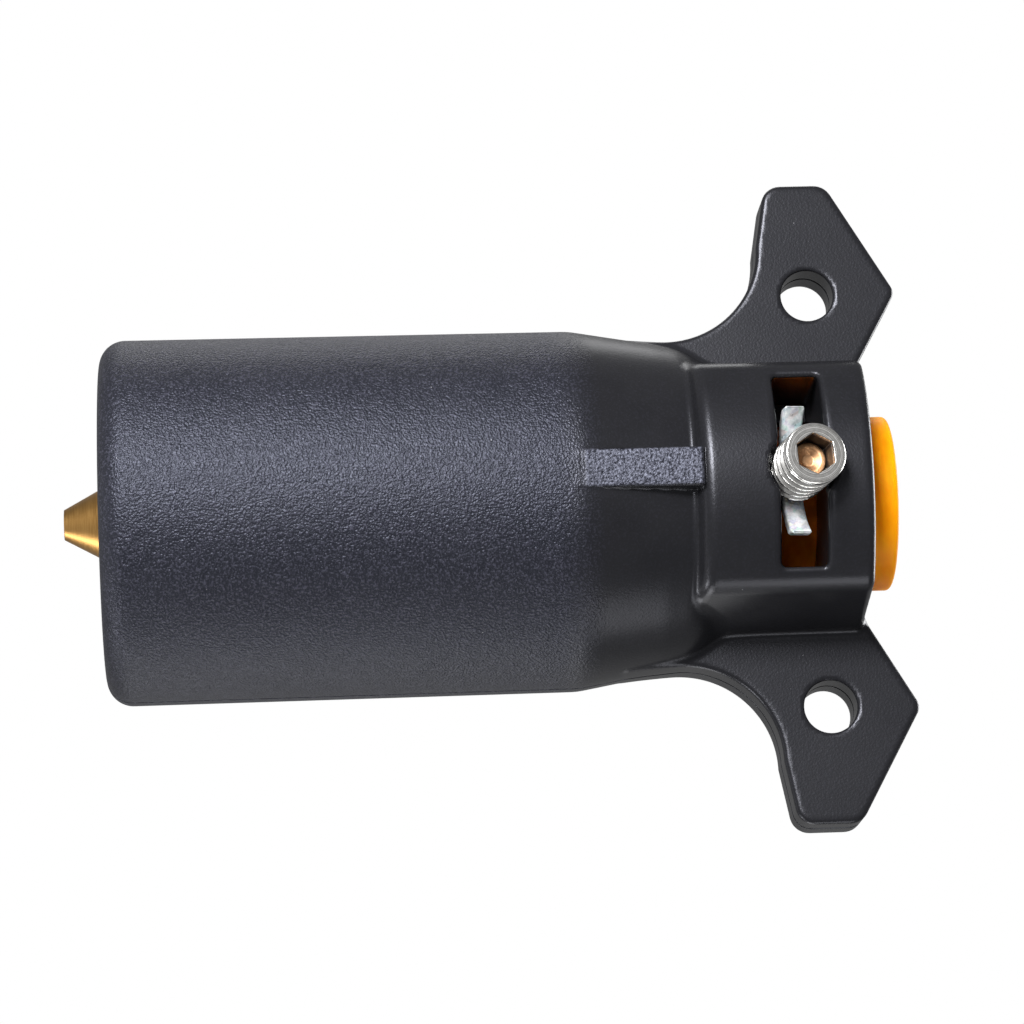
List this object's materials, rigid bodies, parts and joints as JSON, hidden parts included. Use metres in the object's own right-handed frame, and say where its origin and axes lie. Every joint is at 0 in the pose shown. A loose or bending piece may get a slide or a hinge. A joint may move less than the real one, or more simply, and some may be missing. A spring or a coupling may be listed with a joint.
{
  "type": "hotend assembly",
  "caption": "Enclosed hotend: round two-part housing with twin mounting ears, brass nozzle, heated block, insulating core and an angled set screw over a cross slot.",
  "frame": {"origin": "midpoint between the two ear holes, on the filament axis and in the parting plane of the housing", "axes": "+Z along the filament axis away from the nozzle; the ears reach out along X; the slot and set screw face -Y"},
  "size_m": [0.0658, 0.04, 0.084],
  "materials": {
    "housing_plastic": "fine-grained moulded charcoal plastic",
    "black_steel": "black oxide",
    "amber_polymer": "turned translucent amber polymer",
    "stainless_steel": "turned stainless steel",
    "white_ptfe": "waxy white",
    "block_aluminium": "machined",
    "nozzle_brass": "machined brass",
    "mica_board": "pressed mica board",
    "ceramic_fibre": "matted ceramic fibre",
    "lead_red": "silicone insulation",
    "lead_white": "glass-braid sleeving",
    "header_nylon": "natural nylon",
    "pin_brass": "plated brass",
    "zinc_plated_steel": "bright zinc plate",
    "tip_brass": "turned brass",
    "screw_steel": "bright stainless steel"
  },
  "bodies": {
    "housing": {"front_shell": "housing_plastic", "rear_shell": "housing_plastic", "shell_screws": "black_steel", "insulator_core": "amber_polymer", "inlet_bush": "stainless_steel", "ptfe_liner": "white_ptfe", "heat_break": "stainless_steel", "heater_block": "block_aluminium", "heater_cartridge": "stainless_steel", "thermistor": "stainless_steel", "block_grub_screws": "black_steel", "nozzle": "nozzle_brass", "front_washer": "mica_board", "insulation_sleeve": "ceramic_fibre", "sleeve_cap": "mica_board", "heater_leads": "lead_red", "thermistor_leads": "lead_white", "terminal_header": "header_nylon", "header_pins": "pin_brass", "clamp_bar": "zinc_plated_steel"},
    "pressure_tip": {"pressure_tip": "tip_brass"},
    "set_screw": {"set_screw": "screw_steel"}
  },
  "joints": [
    {"name": "screw_advance", "type": "slide", "parent": "housing", "child": "pressure_tip", "axis": [0, 0.989, -0.1478], "range_m": [-0.004, 0]},
    {"name": "screw_turn", "type": "hinge", "parent": "pressure_tip", "child": "set_screw", "pos_m": [0, -0.0214, -0.00257], "axis": [0, 0.989, -0.1478], "range_deg": [-1152.5, 0]}
  ],
  "couplings": [
    {"joint": "screw_turn", "follows": "screw_advance", "rad_per_m": 5026.5}
  ]
}
